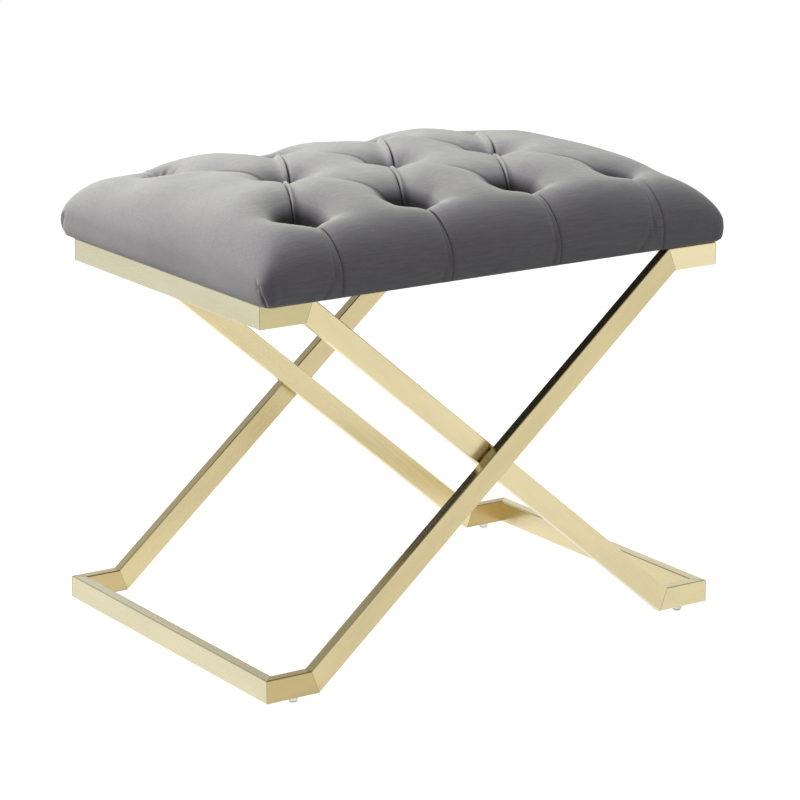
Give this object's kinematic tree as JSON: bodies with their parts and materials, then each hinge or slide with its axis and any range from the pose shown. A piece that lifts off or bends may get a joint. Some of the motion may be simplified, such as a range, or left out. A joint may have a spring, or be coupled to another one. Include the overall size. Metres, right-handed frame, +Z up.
{
  "type": "x frame stool",
  "caption": "Upholstered stool with crossed loops of brushed gold rectangular tube and a deep diamond-tufted grey velvet seat cushion.",
  "frame": {"origin": "on the floor at the middle of the footprint", "axes": "+X along the seat length, +Y from the front edge to the back, +Z up"},
  "size_m": [0.573, 0.4358, 0.505],
  "materials": {
    "gold_metal": "brushed pale gold plating with a fine grain along each tube, satin",
    "velvet": "short-pile grey velvet, soft sheen at grazing angles, darker in the tufts",
    "foam": "open-cell polyurethane foam, hidden",
    "plywood": "bare plywood, hidden",
    "dust_cloth": "black non-woven dust cloth, matt",
    "twine": "waxed grey tufting twine",
    "zinc_steel": "zinc-plated fasteners",
    "clear_plastic": "translucent clear bumper feet"
  },
  "bodies": {
    "root": {"inner_frame_top_stub_front": "gold_metal", "inner_frame_leg_front": "gold_metal", "inner_frame_bottom_stub_front": "gold_metal", "inner_frame_bottom_rail": "gold_metal", "inner_frame_bottom_stub_back": "gold_metal", "inner_frame_leg_back": "gold_metal", "inner_frame_top_stub_back": "gold_metal", "inner_frame_top_rail": "gold_metal", "outer_frame_top_stub_front": "gold_metal", "outer_frame_leg_front": "gold_metal", "outer_frame_bottom_stub_front": "gold_metal", "outer_frame_bottom_rail": "gold_metal", "outer_frame_bottom_stub_back": "gold_metal", "outer_frame_leg_back": "gold_metal", "outer_frame_top_stub_back": "gold_metal", "outer_frame_top_rail": "gold_metal", "crossing_spacer_front": "gold_metal", "crossing_spacer_back": "gold_metal", "foot_left_front": "clear_plastic", "foot_left_back": "clear_plastic", "foot_right_front": "clear_plastic", "foot_right_back": "clear_plastic", "seat_cover": "velvet", "seat_foam": "foam", "seat_board": "plywood", "dust_cover": "dust_cloth", "tuft_tie_front_1": "twine", "tuft_tie_front_2": "twine", "tuft_tie_front_3": "twine", "tuft_tie_front_4": "twine", "tuft_tie_mid_1": "twine", "tuft_tie_mid_2": "twine", "tuft_tie_mid_3": "twine", "tuft_tie_back_1": "twine", "tuft_tie_back_2": "twine", "tuft_tie_back_3": "twine", "tuft_tie_back_4": "twine", "seat_tab_left_front": "gold_metal", "seat_bolt_left_front": "zinc_steel", "tee_nut_left_front": "zinc_steel", "seat_tab_left_back": "gold_metal", "seat_bolt_left_back": "zinc_steel", "tee_nut_left_back": "zinc_steel", "seat_tab_right_front": "gold_metal", "seat_bolt_right_front": "zinc_steel", "tee_nut_right_front": "zinc_steel", "seat_tab_right_back": "gold_metal", "seat_bolt_right_back": "zinc_steel", "tee_nut_right_back": "zinc_steel"}
  },
  "joints": []
}
